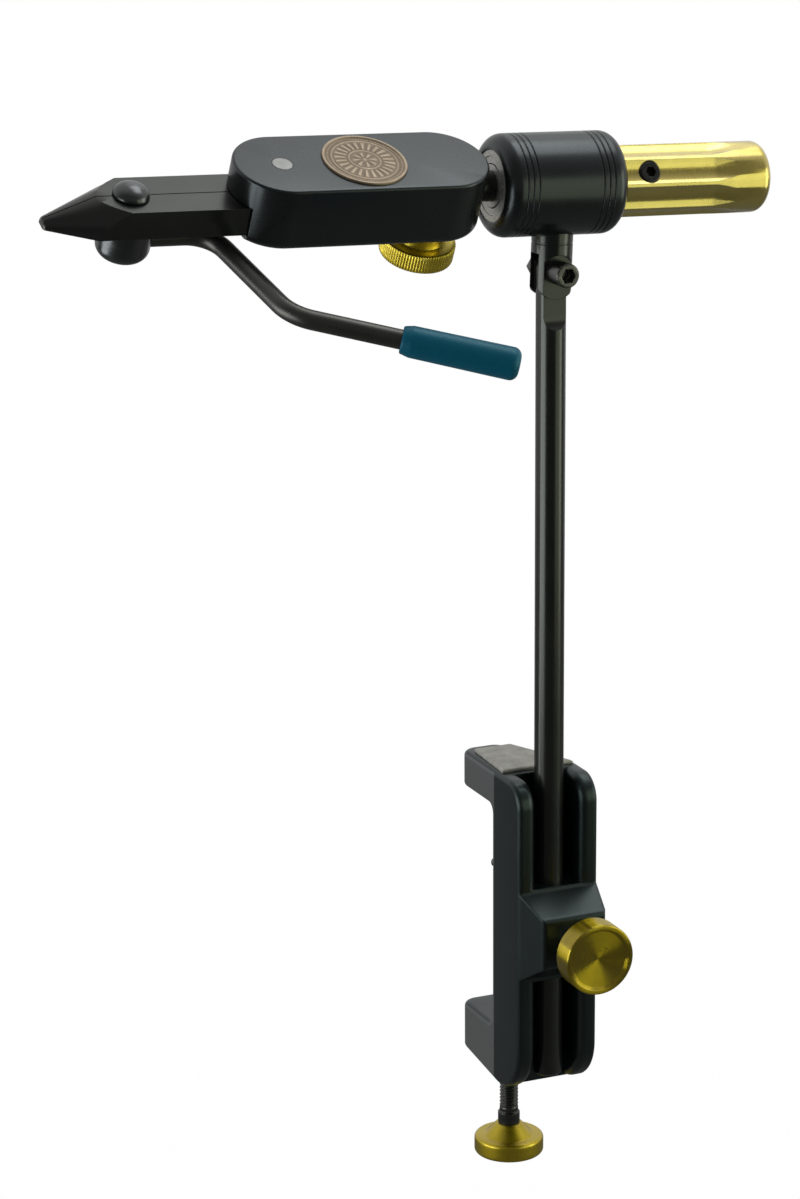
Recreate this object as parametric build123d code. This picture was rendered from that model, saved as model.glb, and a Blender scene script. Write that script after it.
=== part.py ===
from build123d import *
import math
import os

# Fly tying vise on a table clamp. Sizes are in millimetres and degrees.
# The origin is on the clamping face under the upper arm, in line with the clamp screw.
# +Z is up, +X runs along the level rotary axis to the brass handle, +Y points out along the arms.

# Fits
running = 0.05  # radial clearance of what turns or slides in its hole
seated = 0.02  # radial clearance of what is fixed in its hole
apart = 0.3  # gap between faces that move past each other

# Clamp body
clamp_width = 28.4
arm_reach = 25.2  # from the throat to the arms' ends
web_depth = 7.8  # from the throat to the floor of the stem channel
rib_depth = 13.1  # from the channel's floor to the front of the ribs
rib_width = 6.3
rib_round = 8.5
foot_round = 16.0  # round under the ribs' lower ends
rib_ahead = 7.5  # from the stem's axis to the front of the ribs
upper_arm = 12.2
throat_gap = 76.2
lower_arm_end = 15.8
lower_arm_rise = 5.7  # how much the underside of the lower arm climbs towards its end
throat_round = 3.0
arm_plan_round = 5.0
flank_start = 25.1  # width of the upper arm where it leaves the body
flank_turn = 23.95  # angle of the upper arm's slanted flank
clamp_edge = 1.6
rib_edge = 2.6
boss_drop = 23.4  # from the clamping face down to the boss
boss_height = 31.5
boss_reach = 12.3  # from the ribs' front to the boss's face
boss_face_width = 22.4
boss_face_height = 16.5
boss_face_rise = 1.15  # the boss's face above the boss's middle
boss_edge = 1.8
boss_root = 2.0  # how far the boss starts inside the ribs

# Plate on the upper arm
plate_thick = 1.2
plate_front_width = 25.2
plate_back_width = 13.0
plate_depth = 24.6
plate_front_gap = 2.6  # from the channel's floor to the plate
plate_side_gap = 1.6  # from the arm's straight side to the plate
plate_toe_in = 1.2
plate_bevel = 0.45

# Clamp screw, swivel pad and foot knob
screw_dia = 6.3
screw_gap = 26.4  # open gap between the pad and the clamping face
pad_dia = 12.1
pad_thick = 1.3
pad_hub_dia = 7.2
pad_hub = 1.6
pad_socket_dia = 4.4
pad_socket_depth = 1.9
shoulder_dia = 7.4
shoulder_length = 4.4
screw_free = 22.6  # thread below the lower arm, above the shoulder
knob_dia = 23.4
knob_edge = 1.3
foot_rim = 6.2
foot_neck = 4.2
foot_neck_dia = 8.6
foot_cone_dia = 16.4

# Stem, its bush and its lock
stem_dia = 9.525
stem_setback = 30.0  # from the clamp screw's axis to the stem's axis
stem_tail = 90.4  # from the clamping face down to the stem's lower end
bush_wall = 1.4
bush_lip = 4.6  # thickness of the boss above the bush
bush_split = 1.2
lock_pad_thick = 2.4
lock_stand_off = 10.2  # from the boss's face to the lock knob's rim
lock_rim = 8.4
lock_dish = 0.9
lock_dish_fall = 0.8  # how much the dish falls towards its middle
lock_flat = 0.8  # radius of the flat in the dish's middle
lock_lip = 1.5

# Knuckle
bolt_height = 177.7
axis_rise = 26.9  # from the knuckle bolt to the rotary axis
post_dia = 13.0
spigot_dia = 8.0
tongue_thick = 5.6
tongue_runout = 14.0  # from the bolt down to where the tongue's flats end
runout_round = 6.0
fork_gap = 0.1  # gap on each side of the tongue
fork_end = 8.8  # from the bolt down to the fork's end
fork_roof = 5.6  # from the bolt up to the roof of the fork
bolt_dia = 4.2
bolt_head_dia = 7.7
bolt_head_length = 7.9
bolt_seat = 4.6  # from the stem's axis to the flat under the bolt's head
bolt_seat_dia = 11.0
bolt_socket = 4.4
nut_across = 8.4
nut_length = 3.2
nut_dome = 2.4

# Barrel and bearings
head_tilt = 2.07
barrel_dia = 32.0
barrel_length = 41.2
barrel_offset = -1.4  # the barrel's middle, along the rotary axis from the knuckle
barrel_round = 4.4
groove_count = 3
groove_first = 5.8
groove_step = 1.9
groove_depth = 0.35
groove_width = 0.55
bearing_bore = 9.525
bearing_dia = 22.225
bearing_width = 7.142
bearing_sunk = 0.4
ball_dia = 3.97
ball_count = 7
race_gap = 0.08
inner_land = 13.3  # outer diameter of the inner ring
outer_land = 18.4  # inner diameter of the outer ring
shield_thick = 0.35
shield_sunk = 0.25
shield_bore_gap = 0.3
cage_wall = 0.6  # ring of the cage beside the balls
spacer_wall = 1.6

# Rotary shaft and brass handle
shaft_in_head = 24.0
shaft_in_handle = 32.0
handle_dia = 22.5
handle_length = 51.8
handle_gap = 0.3
handle_round = 3.2
flute_count = 8
flute_start = 48.4  # angle of the first flute, from the side of the grip up to the disc
flute_radius = 8.0
flute_depth = 1.65
flute_length = 31.4
flute_runout = 8.5
set_screw_dia = 7.2
set_screw_place = 8.95  # from the handle's inner end to the set screw
set_screw_socket = 3.2

# Head body
head_roll = 24.84
head_length = 82.1
head_gap = 3.5  # from the barrel to the head body
head_width = 30.8
head_thick = 21.3
head_lift = 0.01  # the body's middle plane above the rotary axis
head_top_round = 0.9
head_bottom_round = 2.8
disc_dia = 26.4
disc_thick = 2.0
disc_sunk = 1.3
disc_rim = 0.9
disc_rim_height = 0.25
disc_place = 40.4  # from the head body's rear end
pin_dia = 6.38
pin_place = 66.9

# Jaws
jaw_thick = 9.5
jaw_drop = 8.1  # from the rotary axis down to the underside of the jaws
jaw_width = 18.8
jaw_split = 0.36
jaw_reach = 57.6  # from the head body's front to the tip
jaw_tail = 22.0  # from the pivot pin to the tails' ends
nose_angle = 24.2
nose_tip = 2.45  # radius of the nose at the tip
nose_round = 1.4
ear_dia = 14.0
tail_split = 2.0
jaw_room = 0.8  # room beside each jaw inside the head
spring_place = 15.5  # from the pivot pin to the spring
spring_dia = 5.8
spring_wire = 0.8
spring_turns = 4
spring_pocket = 3.6
spring_slack = 0.45  # room for the tails to close

# Cam pin and lever
cam_place = 31.0  # from the head body's front to the cam pin
dome_dia = 11.3
dome_height = 3.3
cam_long = 10.4
cam_short = 5.8
cam_room = 0.35
cam_tenon_dia = 8.0
lever_boss_dia = 16.6
lever_boss_height = 11.3
lever_boss_round = 4.0
lever_boss_top = 0.6
lever_drop = 5.35  # from the top of the boss to the rod's axis
rod_dia = 6.0
rod_stub = 6.4  # rod in front of the cam pin
rod_first = 27.3  # from the cam pin to the first bend
rod_second = 44.5  # between the bends
rod_third = 68.6  # from the second bend to the grip's end
rod_first_angle = -75.7
rod_second_angle = 49.3
rod_first_round = 11.0
rod_second_round = 14.0
grip_length = 35.6
grip_front_dia = 9.6
grip_dia = 10.0
grip_wall_end = 4.0
grip_round = 2.6
grip_taper = 3.0
lever_screw_dia = 2.6
lever_screw_place = 3.0

# Thumb screw under the head
thumb_place = 16.4  # from the head body's rear end
thumb_rim = 6.2
thumb_hub_dia = 15.0
thumb_hub = 6.56
thumb_pad_thick = 2.0

# Places worked out from these sizes
stem_y = -stem_setback
channel_floor = stem_y + rib_depth - rib_ahead
rib_front = channel_floor - rib_depth
throat = channel_floor + web_depth
arm_end = throat + arm_reach
lower_top = -throat_gap
lower_end = lower_top - lower_arm_end
lower_front = lower_end - lower_arm_rise
half_width = clamp_width / 2
channel_half = half_width - rib_width
boss_top = -boss_drop
boss_bottom = boss_top - boss_height
boss_middle = (boss_top + boss_bottom) / 2 + boss_face_rise
boss_face = rib_front - boss_reach
bush_outer = stem_dia / 2 + running + bush_wall

barrel_front = barrel_offset - barrel_length / 2
barrel_back = barrel_offset + barrel_length / 2
head_back = barrel_front - head_gap
head_front = head_back - head_length
head_middle = (head_back + head_front) / 2
head_bottom = head_lift - head_thick / 2
head_top = head_lift + head_thick / 2
pin_x = head_back - pin_place
thumb_x = head_back - thumb_place
cam_x = head_front - cam_place
tip_x = head_front - jaw_reach
jaw_bottom = -jaw_drop
jaw_top = jaw_bottom + jaw_thick
jaw_middle = (jaw_top + jaw_bottom) / 2
lever_top = jaw_bottom - apart
lever_z = lever_top - lever_drop

# Frames: the tilted barrel, with its axis along X, and the rolled head on the same axis
barrel_at = Pos(0, stem_y, bolt_height) * Rot(0, head_tilt, 0) * Pos(0, 0, axis_rise)
head_at = barrel_at * Rot(head_roll, 0, 0)
along_x = Rot(0, 90, 0)
along_y = Rot(-90, 0, 0)
bottom_up = (Align.CENTER, Align.CENTER, Align.MIN)
top_down = (Align.CENTER, Align.CENTER, Align.MAX)

nodes = {}


def turned(outline, radius=0):
    """Solid of revolution about Z from (radius, height) corners, with rounded corners if given."""
    if radius:
        wire = FilletPolyline(*outline, radius=radius, close=True)
    else:
        wire = Polyline(*outline, close=True)
    return revolve(Plane.XZ * make_face(wire), Axis.Z)


def rod(dia, start, end):
    """Round bar along Z between two heights."""
    return Pos(0, 0, start) * Cylinder(dia / 2, end - start, align=bottom_up)


def tube(outer, inner, start, end):
    return rod(outer, start, end) - rod(inner, start - 1, end + 1)


def hex_socket(across, depth, at):
    """Hexagonal key hole that goes down from a height."""
    hexagon = RegularPolygon(across / 2, 6, major_radius=False)
    return Pos(0, 0, at - depth) * extrude(hexagon, depth + 1)


def clamp_body():
    outline = [
        (rib_front, upper_arm),
        (arm_end, upper_arm),
        (arm_end, 0),
        (throat, 0),
        (throat, lower_top),
        (arm_end, lower_top),
        (arm_end, lower_end),
        (rib_front, lower_front),
    ]
    rounds = [rib_round, 0, 0, throat_round, throat_round, 0, 0, foot_round]
    side = make_face(FilletPolyline(*outline, radius=rounds, close=True))
    body = extrude(Plane.YZ * side, half_width, both=True)
    flank_top = flank_start - half_width
    flank_end = flank_top - arm_reach * math.tan(math.radians(flank_turn))
    slanted = [
        (-half_width, rib_front),
        (half_width, rib_front),
        (half_width, throat),
        (flank_top, throat),
        (flank_end, arm_end),
        (-half_width, arm_end),
    ]
    square = [
        (-half_width, rib_front),
        (half_width, rib_front),
        (half_width, arm_end),
        (-half_width, arm_end),
    ]
    corner = arm_plan_round
    upper = make_face(FilletPolyline(*slanted, radius=[0, 0, 0, 0, corner, corner], close=True))
    lower = make_face(FilletPolyline(*square, radius=[0, 0, corner, corner], close=True))
    split = -throat_round
    plan = Pos(0, 0, split) * extrude(upper, upper_arm - split + 1)
    plan += Pos(0, 0, lower_front - 1) * extrude(lower, split - lower_front + 1)
    body &= plan
    for low, high in ((boss_top, upper_arm + 1), (lower_front - 1, boss_bottom)):
        open_front = (Align.CENTER, Align.MAX, Align.MIN)
        channel = Box(2 * channel_half, rib_depth + 1, high - low, align=open_front)
        body -= Pos(0, channel_floor, low) * channel
    body = fillet([e for e in body.edges() if is_outline_edge(e)], clamp_edge)
    body = fillet([e for e in body.edges() if is_channel_edge(e)], rib_edge)
    base = Plane((0, rib_front + boss_root, 0), x_dir=(1, 0, 0), z_dir=(0, -1, 0))
    face = base.offset(boss_reach + boss_root)
    middle = (boss_top + boss_bottom) / 2
    boss = loft(
        [
            base * Pos(0, middle) * Rectangle(clamp_width - 0.1, boss_height),
            face * Pos(0, boss_middle) * Rectangle(boss_face_width, boss_face_height),
        ],
        ruled=True,
    )
    boss = fillet(boss.faces().sort_by(Axis.Y)[0].edges(), boss_edge)
    body += boss
    stem_at = Pos(0, stem_y, 0)
    body -= stem_at * rod(stem_dia + 4 * running, boss_bottom - 1, boss_top + 1)
    body -= stem_at * rod(2 * (bush_outer + running), boss_bottom - 1, boss_top - bush_lip)
    lock = rod(screw_dia + 2 * running, 0, stem_y - boss_face + 1)
    body -= Pos(0, boss_face - 1, boss_middle) * along_y * lock
    body -= rod(screw_dia + 2 * running, lower_front - 1, lower_top + 1)
    return body


def is_outline_edge(edge):
    """Edges along the two side faces of the clamp."""
    box = edge.bounding_box()
    on_left = abs(box.max.X + half_width) < 0.01
    on_right = abs(box.min.X - half_width) < 0.01
    upright = box.size.Y < 0.01 and abs(box.min.Y - rib_front) > 0.01
    return (on_left or on_right) and not upright


def is_channel_edge(edge):
    """Edges where the channel's side walls meet the ribs' outer faces."""
    box = edge.bounding_box()
    on_wall = abs(abs(box.max.X) - channel_half) < 0.01 and box.size.X < 0.01
    return on_wall and box.min.Y < channel_floor - 0.1 and not is_channel_end(box)


def is_channel_end(box):
    at_boss = abs(box.max.Z - boss_top) < 0.01 or abs(box.min.Z - boss_bottom) < 0.01
    return at_boss and box.size.Z < 0.01


def top_plate():
    front = channel_floor + plate_front_gap
    left = -half_width + plate_side_gap
    outline = make_face(
        Polyline(
            (left, front),
            (left + plate_front_width, front),
            (left + plate_toe_in + plate_back_width, front + plate_depth),
            (left + plate_toe_in, front + plate_depth),
            close=True,
        )
    )
    plate = Pos(0, 0, upper_arm) * extrude(outline, plate_thick)
    return chamfer(plate.faces().sort_by(Axis.Z)[-1].edges(), plate_bevel)


def clamp_screw_parts():
    pad_top = -screw_gap
    pad_under = pad_top - pad_thick
    pad_bottom = pad_under - pad_hub
    pad = turned(
        [
            (0, pad_top),
            (pad_dia / 2, pad_top),
            (pad_dia / 2, pad_under),
            (pad_hub_dia / 2, pad_under),
            (pad_hub_dia / 2, pad_bottom),
            (pad_socket_dia / 2, pad_bottom),
            (pad_socket_dia / 2, pad_bottom + pad_socket_depth),
            (0, pad_bottom + pad_socket_depth),
        ],
        [0, 0.4, 0.4, 0.4, 0.2, 0, 0, 0],
    )
    under_arm = lower_end - lower_arm_rise * (arm_end / (arm_end - rib_front))
    shoulder_top = under_arm - screw_free
    shoulder_bottom = shoulder_top - shoulder_length
    rim_top = shoulder_bottom - foot_neck
    rim_bottom = rim_top - foot_rim
    tenon = pad_socket_dia / 2 - running
    screw = turned(
        [
            (0, pad_bottom + pad_socket_depth - running),
            (tenon, pad_bottom + pad_socket_depth - running),
            (tenon, pad_bottom - running),
            (screw_dia / 2, pad_bottom - running),
            (screw_dia / 2, shoulder_top),
            (shoulder_dia / 2, shoulder_top - (shoulder_dia - screw_dia) / 2),
            (shoulder_dia / 2, shoulder_bottom),
            (screw_dia / 2, shoulder_bottom),
            (screw_dia / 2, rim_bottom + 1.5),
            (0, rim_bottom + 1.5),
        ]
    )
    bore = screw_dia / 2 + seated
    knob = turned(
        [
            (bore, shoulder_bottom),
            (foot_neck_dia / 2, shoulder_bottom),
            (foot_cone_dia / 2, rim_top),
            (knob_dia / 2, rim_top),
            (knob_dia / 2, rim_bottom),
            (0, rim_bottom),
            (0, rim_bottom + 1.5 - seated),
            (bore, rim_bottom + 1.5 - seated),
        ],
        [0, 0.4, 0.8, knob_edge, knob_edge, 0, 0, 0],
    )
    nodes["clamp_swivel_pad"] = pad
    nodes["clamp_screw"] = screw
    nodes["clamp_screw_knob"] = knob


def stem():
    top = bolt_height + stem_dia / 2
    bar = rod(stem_dia, -stem_tail, top)
    crown = Pos(0, 0, bolt_height) * along_y * Cylinder(stem_dia / 2, stem_dia)
    below = Pos(0, 0, bolt_height) * Box(stem_dia + 2, stem_dia + 2, stem_tail + top, align=top_down)
    bar &= crown + below
    flat_end = bolt_height - tongue_runout
    for side in (-1, 1):
        centre = side * (tongue_thick / 2 + runout_round)
        relief = Pos(0, centre, flat_end) * along_x * Cylinder(runout_round, stem_dia + 2)
        slab = Box(stem_dia + 2, 2 * runout_round, top - flat_end + 1, align=bottom_up)
        bar -= relief + Pos(0, centre, flat_end) * slab
    bar = chamfer(bar.faces().sort_by(Axis.Z)[0].edges(), 0.6)
    bar -= Pos(0, 0, bolt_height) * along_y * Cylinder(bolt_dia / 2 + running, stem_dia + 2)
    return Pos(0, stem_y, 0) * bar


def stem_bush():
    high = boss_top - bush_lip - running
    low = boss_bottom + running
    bush = tube(2 * bush_outer, stem_dia + 2 * running, low, high)
    behind = (Align.CENTER, Align.MIN, Align.CENTER)
    slot = Box(bush_split, 2 * bush_outer, 2 * boss_height, align=behind)
    bush -= Pos(0, 0, low) * slot
    return Pos(0, stem_y, 0) * bush


def stem_lock_parts():
    at = Pos(0, stem_y, boss_middle) * Rot(90, 0, 0)
    pad_start = bush_outer + apart
    pad_end = pad_start + lock_pad_thick
    rim_back = stem_y - boss_face + lock_stand_off
    rim_front = rim_back + lock_rim
    dish_floor = rim_front - lock_dish - lock_dish_fall
    screw_end = dish_floor - 1.6
    nodes["stem_lock_pad"] = at * rod(screw_dia, pad_start, pad_end)
    nodes["stem_lock_screw"] = at * rod(screw_dia, pad_end + running, screw_end)
    bore = screw_dia / 2 + seated
    lip = knob_dia / 2 - lock_lip
    knob = turned(
        [
            (bore, rim_back - foot_neck),
            (foot_neck_dia / 2, rim_back - foot_neck),
            (foot_cone_dia / 2, rim_back),
            (knob_dia / 2, rim_back),
            (knob_dia / 2, rim_front),
            (lip, rim_front),
            (lip - lock_dish, rim_front - lock_dish),
            (lock_flat, dish_floor),
            (0, dish_floor),
            (0, screw_end + seated),
            (bore, screw_end + seated),
        ],
        [0, 0.4, 0.8, 0.8, 0.6, 0.4, 0, 0, 0, 0, 0],
    )
    nodes["stem_lock_knob"] = at * knob


def knuckle_parts():
    """Post, bolt and nut in the barrel's frame, where the rotary axis is X."""
    bolt_at = Pos(0, 0, -axis_rise)
    post = rod(post_dia, -axis_rise, 0)
    end_at = bolt_at * Pos(0, 0, post_dia / 2 - fork_end)
    post += rod(post_dia, -axis_rise - fork_end, -axis_rise + 1) & end_at * (
        along_y * Cylinder(post_dia / 2, post_dia) + rod(2 * post_dia, 0, fork_end)
    )
    post -= along_x * Cylinder(barrel_dia / 2 + seated, post_dia + 2)
    collar = tube(post_dia + 2, post_dia - 0.6, -barrel_dia / 2 - 2.4, -barrel_dia / 2 - 1.9)
    post -= collar
    spigot_top = -bearing_dia / 2 - 0.3
    post += rod(spigot_dia, -barrel_dia / 2 - 1, spigot_top)
    slot_half = tongue_thick / 2 + fork_gap
    slot = Box(post_dia + 2, 2 * slot_half, post_dia + fork_roof, align=top_down)
    post -= Pos(0, 0, -axis_rise + fork_roof) * slot
    seat = Cylinder(bolt_seat_dia / 2, post_dia, align=bottom_up)
    below = (Align.CENTER, Align.MAX, Align.MIN)
    seat += Box(bolt_seat_dia, 2 * fork_end, post_dia, align=below)
    above = (Align.CENTER, Align.MIN, Align.MIN)
    far_seat = Cylinder(bolt_seat_dia / 2, post_dia, align=bottom_up)
    far_seat += Box(bolt_seat_dia, 2 * fork_end, post_dia, align=above)
    post -= bolt_at * Pos(0, -bolt_seat, 0) * Rot(90, 0, 0) * seat
    post -= bolt_at * Pos(0, bolt_seat, 0) * Rot(-90, 0, 0) * far_seat
    post -= bolt_at * along_y * Cylinder(bolt_dia / 2 + seated, post_dia + 2)
    nodes["knuckle_post"] = barrel_at * post

    shank_end = bolt_seat + nut_length
    head = rod(bolt_head_dia, bolt_seat, bolt_seat + bolt_head_length)
    head = chamfer(head.faces().sort_by(Axis.Z)[-1].edges(), 0.5)
    bolt = head + rod(bolt_dia, -shank_end, bolt_seat + 1)
    bolt -= hex_socket(bolt_socket, bolt_head_length / 2, bolt_seat + bolt_head_length)
    facing = bolt_at * Rot(90, 0, 0)
    nodes["knuckle_bolt"] = barrel_at * facing * bolt

    hexagon = RegularPolygon(nut_across / 2, 6, major_radius=False)
    nut = Pos(0, 0, bolt_seat) * extrude(hexagon, nut_length)
    dome_radius = 0.46 * nut_across
    dome_base = bolt_seat + nut_length / 2
    dome_top = bolt_seat + nut_length + nut_dome
    nut += turned(
        [(0, dome_base), (dome_radius, dome_base), (dome_radius, dome_top), (0, dome_top)],
        [0, 0, 0.95 * nut_dome, 0],
    )
    nut -= rod(bolt_dia + 2 * seated, bolt_seat - 1, shank_end + seated)
    nodes["knuckle_nut"] = barrel_at * bolt_at * Rot(-90, 0, 0) * nut


def barrel_housing():
    half = barrel_length / 2
    outer = barrel_dia / 2
    bore = bearing_dia / 2 + seated
    shoulder = half - bearing_sunk - bearing_width - seated
    inner = outer_land / 2 + 0.6
    profile = [
        (outer, -half),
        (outer, half),
        (bore, half),
        (bore, shoulder),
        (inner, shoulder),
        (inner, -shoulder),
        (bore, -shoulder),
        (bore, -half),
    ]
    body = turned(profile, [barrel_round, barrel_round, 0.3, 0, 0, 0, 0, 0.3])
    for end in (-1, 1):
        for index in range(groove_count):
            place = end * (half - groove_first - index * groove_step)
            cutter = [
                (outer + groove_depth, place - groove_width),
                (outer + groove_depth, place + groove_width),
                (outer - groove_depth, place),
            ]
            body -= turned(cutter)
    body = Pos(barrel_offset, 0, 0) * along_x * body
    return body - rod(spigot_dia + 2 * seated, -outer - 1, 0)


def bearing(name, middle):
    """Shielded ball bearing whose middle plane is at a place along the rotary axis."""
    at = Pos(middle, 0, 0) * along_x
    half = bearing_width / 2
    pitch = (inner_land + outer_land) / 4
    race = Torus(pitch, ball_dia / 2 + race_gap)
    outer = tube(bearing_dia, outer_land, -half, half) - race
    inner = tube(inner_land, bearing_bore + 2 * seated, -half, half) - race
    shield_inner = inner_land + 2 * shield_bore_gap
    face = half - shield_sunk
    shields = [
        tube(outer_land - 2 * seated, shield_inner, face - shield_thick, face),
        tube(outer_land - 2 * seated, shield_inner, -face, shield_thick - face),
    ]
    places = [Rot(0, 0, 360 * i / ball_count) * Pos(pitch, 0, 0) for i in range(ball_count)]
    balls = [place * Sphere(ball_dia / 2) for place in places]
    cage_side = ball_dia / 2 + cage_wall
    cage = tube(outer_land - 4 * race_gap, inner_land + 4 * race_gap, -cage_wall, cage_side)
    for place in places:
        cage -= place * Sphere(ball_dia / 2 + seated)
    nodes[name + "_bearing_outer_ring"] = barrel_at * at * outer
    nodes[name + "_bearing_shields"] = Compound(children=[barrel_at * at * s for s in shields])
    nodes[name + "_bearing_inner_ring"] = barrel_at * at * inner
    nodes[name + "_bearing_balls"] = Compound(children=[barrel_at * at * b for b in balls])
    nodes[name + "_ball_cage"] = barrel_at * at * cage


def rotary_parts():
    """Shaft, inner spacer, brass handle and its set screw, in the head's frame."""
    shaft_start = head_back - shaft_in_head
    handle_start = barrel_back + handle_gap
    shaft_end = handle_start + shaft_in_handle
    shaft = chamfer(rod(bearing_bore, shaft_start, shaft_end).edges().filter_by(GeomType.CIRCLE), 0.6)
    nodes["rotary_shaft"] = head_at * along_x * shaft

    inside = barrel_length / 2 - bearing_sunk - bearing_width - seated
    spacer = tube(
        bearing_bore + 2 * spacer_wall,
        bearing_bore + 2 * seated,
        barrel_offset - inside,
        barrel_offset + inside,
    )
    nodes["bearing_spacer"] = head_at * along_x * spacer

    outer = handle_dia / 2
    bore = bearing_bore / 2 + seated
    handle_end = handle_start + handle_length
    profile = [
        (bore, handle_start),
        (outer, handle_start),
        (outer, handle_end),
        (0, handle_end),
        (0, shaft_end + seated),
        (bore, shaft_end + seated),
    ]
    handle = along_x * turned(profile, [0, 0.4, handle_round, 0, 0, 0])
    reach = outer - flute_depth + flute_radius
    climb_length = 3 * flute_depth / math.sin(math.radians(flute_runout))
    for index in range(flute_count):
        turn = Rot(-flute_start - index * 360 / flute_count, 0, 0)
        straight = along_x * rod(2 * flute_radius, handle_start - 1, handle_start + flute_length)
        climb = Rot(0, 0, -flute_runout) * along_x * rod(2 * flute_radius, 0, climb_length)
        knee = Pos(handle_start + flute_length, -reach, 0)
        cutter = Pos(0, -reach, 0) * straight + knee * Sphere(flute_radius) + knee * climb
        handle -= turn * cutter
    screw_at = Rot(-flute_start, 0, 0) * Pos(handle_start + set_screw_place, 0, 0) * Rot(90, 0, 0)
    top = outer - flute_depth / 2
    handle -= screw_at * rod(set_screw_dia + 2 * seated, bearing_bore / 2, outer + 1)
    nodes["rotary_handle"] = head_at * handle

    set_screw = rod(set_screw_dia, bearing_bore / 2 + seated, top)
    set_screw = chamfer(set_screw.edges().sort_by(Axis.Z)[-1], 0.5)
    set_screw -= hex_socket(set_screw_socket, 2.4, top)
    nodes["handle_set_screw"] = head_at * screw_at * set_screw


def head_parts():
    slab = extrude(SlotOverall(head_length, head_width), head_thick)
    slab = Pos(head_middle, 0, head_bottom) * slab
    slab = fillet(slab.faces().sort_by(Axis.Z)[-1].edges(), head_top_round)
    slab = fillet(slab.faces().sort_by(Axis.Z)[0].edges(), head_bottom_round)
    room_back = pin_x + jaw_tail + jaw_room
    room = Box(
        room_back - head_front + 1,
        jaw_width + 2 * jaw_room,
        jaw_thick + 2 * apart,
        align=(Align.MAX, Align.CENTER, Align.CENTER),
    )
    slab -= Pos(room_back, 0, jaw_middle) * room
    end_round = head_width / 2
    room_half = jaw_width / 2 + jaw_room
    wall_end = head_front + end_round - math.sqrt(end_round**2 - room_half**2)
    lip = Box(head_width, 2 * head_width, jaw_middle - head_bottom, align=(Align.MAX, Align.CENTER, Align.MIN))
    slab -= Pos(wall_end, 0, head_bottom - 0.1) * lip
    slab -= along_x * rod(bearing_bore + 2 * seated, head_back - shaft_in_head - seated, head_back + 1)
    disc_x = head_back - disc_place
    disc_floor = head_top - disc_sunk
    slab -= Pos(disc_x, 0, 0) * rod(disc_dia + 2 * seated, disc_floor, head_top + 1)
    slab -= Pos(pin_x, 0, 0) * rod(pin_dia + 2 * seated, head_bottom - 1, head_top + 1)
    slab -= Pos(thumb_x, 0, 0) * rod(screw_dia + 2 * running, head_bottom - 1, 0)
    nodes["head_body"] = head_at * slab

    disc_top = disc_floor + disc_thick
    edge = disc_dia / 2
    disc = turned(
        [
            (0, disc_floor),
            (edge, disc_floor),
            (edge, disc_top),
            (edge - disc_rim, disc_top),
            (edge - disc_rim - disc_rim_height, disc_top - disc_rim_height),
            (0, disc_top - disc_rim_height),
        ],
        [0, 0, 0.3, 0.15, 0, 0],
    )
    nodes["head_disc"] = head_at * Pos(disc_x, 0, 0) * disc

    pin = rod(pin_dia, head_bottom + 0.1, head_top + 0.05)
    pin = chamfer(pin.edges().filter_by(GeomType.CIRCLE), 0.15)
    nodes["jaw_pivot_pin"] = head_at * Pos(pin_x, 0, 0) * pin


def jaw(side):
    """One jaw half: side -1 is the near one, with the upper ear, and side 1 the far one."""
    tail_end = pin_x + jaw_tail
    thick = jaw_width / 2 - jaw_split / 2
    block = Box(tail_end - tip_x, thick, jaw_thick, align=(Align.MIN, Align.MIN, Align.MIN))
    block = Pos(tip_x, jaw_split / 2, jaw_bottom) * block
    tangent = math.tan(math.radians(nose_angle))
    length = tail_end - tip_x
    nose = turned(
        [(0, 0), (nose_tip, 0), (nose_tip + length * tangent, length), (0, length)],
        [0, nose_round, 0, 0],
    )
    block &= Pos(tip_x, 0, jaw_bottom) * along_x * nose
    opening = Box(jaw_tail + 1, tail_split / 2, jaw_thick + 2, align=Align.MIN)
    block -= Pos(pin_x, 0, jaw_bottom - 1) * opening
    pocket = rod(spring_dia + 0.5, 0, tail_split / 2 + spring_pocket)
    block -= Pos(pin_x + spring_place, 0, jaw_middle) * along_y * pocket
    slot = extrude(SlotOverall(cam_long + 2 * cam_room, cam_short + 2 * cam_room), jaw_thick + 2)
    block -= Pos(cam_x, 0, jaw_bottom - 1) * slot
    if side < 0:
        block = mirror(block, Plane.XZ)
        ear = rod(ear_dia, jaw_middle + apart / 2, jaw_top)
        relief = rod(ear_dia + 2 * apart, jaw_bottom - 1, jaw_middle + apart / 2)
    else:
        ear = rod(ear_dia, jaw_bottom, jaw_middle - apart / 2)
        relief = rod(ear_dia + 2 * apart, jaw_middle - apart / 2, jaw_top + 1)
    pivot = Pos(pin_x, 0, 0)
    body = block - pivot * relief + pivot * ear
    return head_at * (body - pivot * rod(pin_dia + 2 * running, jaw_bottom - 1, jaw_top + 1))


def jaw_spring():
    span = tail_split + 2 * spring_pocket - seated - spring_slack
    radius = (spring_dia - spring_wire) / 2
    rise = span - spring_wire
    coil = Helix(rise / spring_turns, rise, radius)
    start = Plane(coil @ 0, z_dir=coil % 0)
    wire = sweep(start * Circle(spring_wire / 2), coil, is_frenet=True)
    near_end = -tail_split / 2 - spring_pocket + seated + spring_wire / 2
    place = Pos(pin_x + spring_place, near_end, jaw_middle)
    return head_at * place * along_y * wire


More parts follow.
